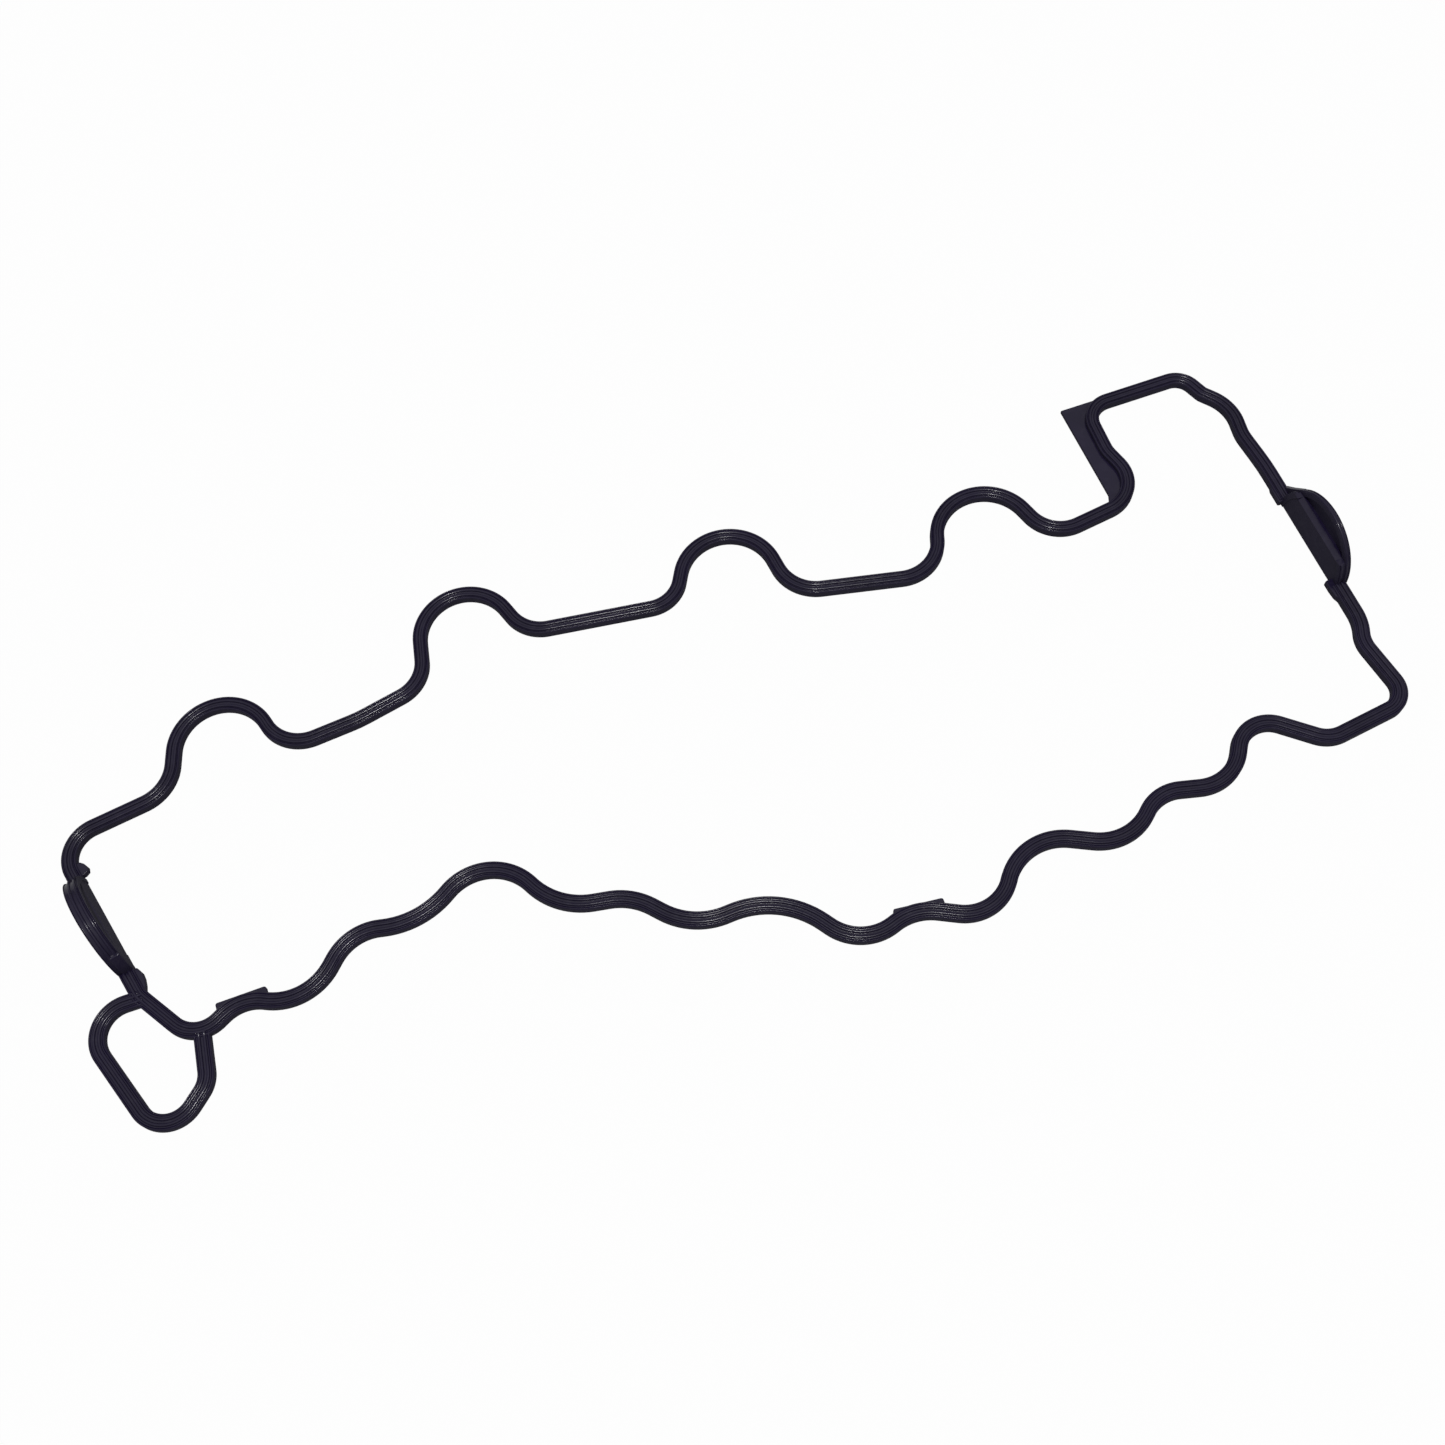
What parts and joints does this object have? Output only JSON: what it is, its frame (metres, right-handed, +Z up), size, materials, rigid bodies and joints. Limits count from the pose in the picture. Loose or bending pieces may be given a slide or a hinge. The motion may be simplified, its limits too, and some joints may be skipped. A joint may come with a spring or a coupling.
{
  "type": "valve cover gasket",
  "caption": "Closed loop of ribbed black rubber that seals a valve cover, with arches round the spark plug wells, a small side loop and upright half-moon plugs.",
  "frame": {"origin": "middle of the footprint, on the cover face that lies on the bench", "axes": "+X along the engine towards the end with the corner web, +Y towards the spark plug side, +Z up, the way the sealing ribs and the half-moon plugs point"},
  "size_m": [0.4524, 0.1758, 0.0196],
  "materials": {
    "rubber": "glossy moulded black rubber"
  },
  "bodies": {
    "root": {"valve_cover_gasket": "rubber"}
  },
  "joints": []
}
